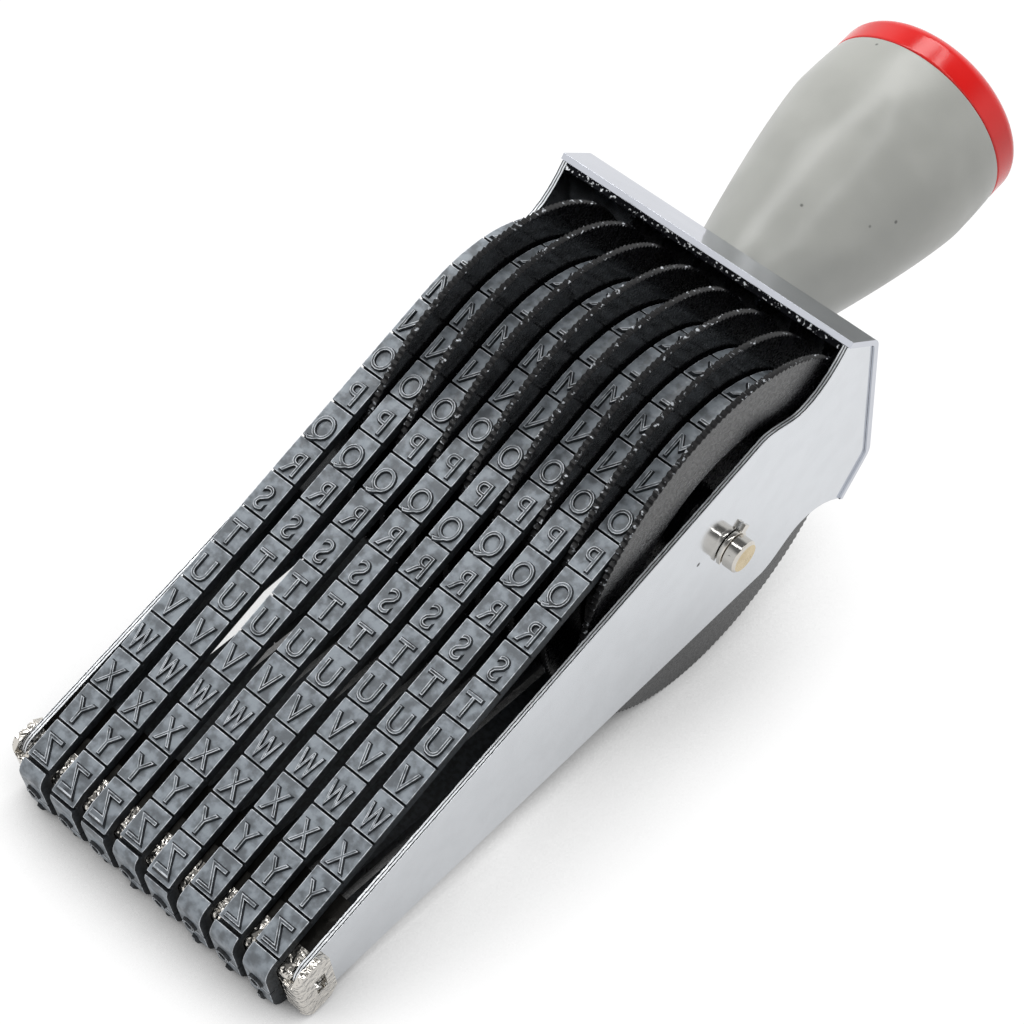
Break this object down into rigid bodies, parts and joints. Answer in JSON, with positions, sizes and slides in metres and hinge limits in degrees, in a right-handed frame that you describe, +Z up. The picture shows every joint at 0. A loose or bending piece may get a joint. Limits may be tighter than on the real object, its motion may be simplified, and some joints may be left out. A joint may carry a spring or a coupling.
{
  "type": "band letter stamp",
  "caption": "Hand stamp with endless rubber type bands side by side over a printing bridge and thumb wheels, in a chromed frame with a flared handle.",
  "frame": {"origin": "on the surface that the machine lies on, under the middle of its bounding box", "axes": "+X along the axle to the side that the thumb rims face, +Y level from the printing end to the handle, +Z up; the machine lies leaned about X, on the noses of its type bands and on its thumb rims"},
  "size_m": [0.0606, 0.1766, 0.0701],
  "materials": {
    "chromed_sheet": "bright chromed steel sheet",
    "chromed_cap": "mirror chromed steel sheet",
    "nickel_bridge": "bright nickel plate",
    "nickel_axle": "turned steel, nickel plated",
    "nickel_clip": "spring steel, nickel plated",
    "zinc_washer": "zinc plated",
    "grey_plastic": "satin moulded plastic",
    "red_plastic": "glossy moulded plastic",
    "zinc_screw": "zinc plated",
    "type_rubber": "matt moulded rubber",
    "black_plastic": "satin moulded plastic"
  },
  "bodies": {
    "machine": {"frame": "chromed_sheet", "back_cap": "chromed_cap", "bridge": "nickel_bridge", "axle": "nickel_axle", "axle_clips": "nickel_clip", "end_washers": "zinc_washer", "handle_grip": "grey_plastic", "handle_disc": "red_plastic", "handle_screw": "zinc_screw", "band_1": "type_rubber", "band_2": "type_rubber", "band_3": "type_rubber", "band_4": "type_rubber", "band_5": "type_rubber", "band_6": "type_rubber", "band_7": "type_rubber", "band_8": "type_rubber"},
    "thumb_wheel_1": {"wheel_1": "black_plastic"},
    "thumb_wheel_2": {"wheel_2": "black_plastic"},
    "thumb_wheel_3": {"wheel_3": "black_plastic"},
    "thumb_wheel_4": {"wheel_4": "black_plastic"},
    "thumb_wheel_5": {"wheel_5": "black_plastic"},
    "thumb_wheel_6": {"wheel_6": "black_plastic"},
    "thumb_wheel_7": {"wheel_7": "black_plastic"},
    "thumb_wheel_8": {"wheel_8": "black_plastic"}
  },
  "joints": [
    {"name": "wheel_1_turn", "type": "hinge", "parent": "machine", "child": "thumb_wheel_1", "pos_m": [0, 0.00233, 0.0311], "axis": [1, 0, 0], "continuous": true},
    {"name": "wheel_2_turn", "type": "hinge", "parent": "machine", "child": "thumb_wheel_2", "pos_m": [0, 0.00233, 0.0311], "axis": [1, 0, 0], "continuous": true},
    {"name": "wheel_3_turn", "type": "hinge", "parent": "machine", "child": "thumb_wheel_3", "pos_m": [0, 0.00233, 0.0311], "axis": [1, 0, 0], "continuous": true},
    {"name": "wheel_4_turn", "type": "hinge", "parent": "machine", "child": "thumb_wheel_4", "pos_m": [0, 0.00233, 0.0311], "axis": [1, 0, 0], "continuous": true},
    {"name": "wheel_5_turn", "type": "hinge", "parent": "machine", "child": "thumb_wheel_5", "pos_m": [0, 0.00233, 0.0311], "axis": [1, 0, 0], "continuous": true},
    {"name": "wheel_6_turn", "type": "hinge", "parent": "machine", "child": "thumb_wheel_6", "pos_m": [0, 0.00233, 0.0311], "axis": [1, 0, 0], "continuous": true},
    {"name": "wheel_7_turn", "type": "hinge", "parent": "machine", "child": "thumb_wheel_7", "pos_m": [0, 0.00233, 0.0311], "axis": [1, 0, 0], "continuous": true},
    {"name": "wheel_8_turn", "type": "hinge", "parent": "machine", "child": "thumb_wheel_8", "pos_m": [0, 0.00233, 0.0311], "axis": [1, 0, 0], "continuous": true}
  ]
}
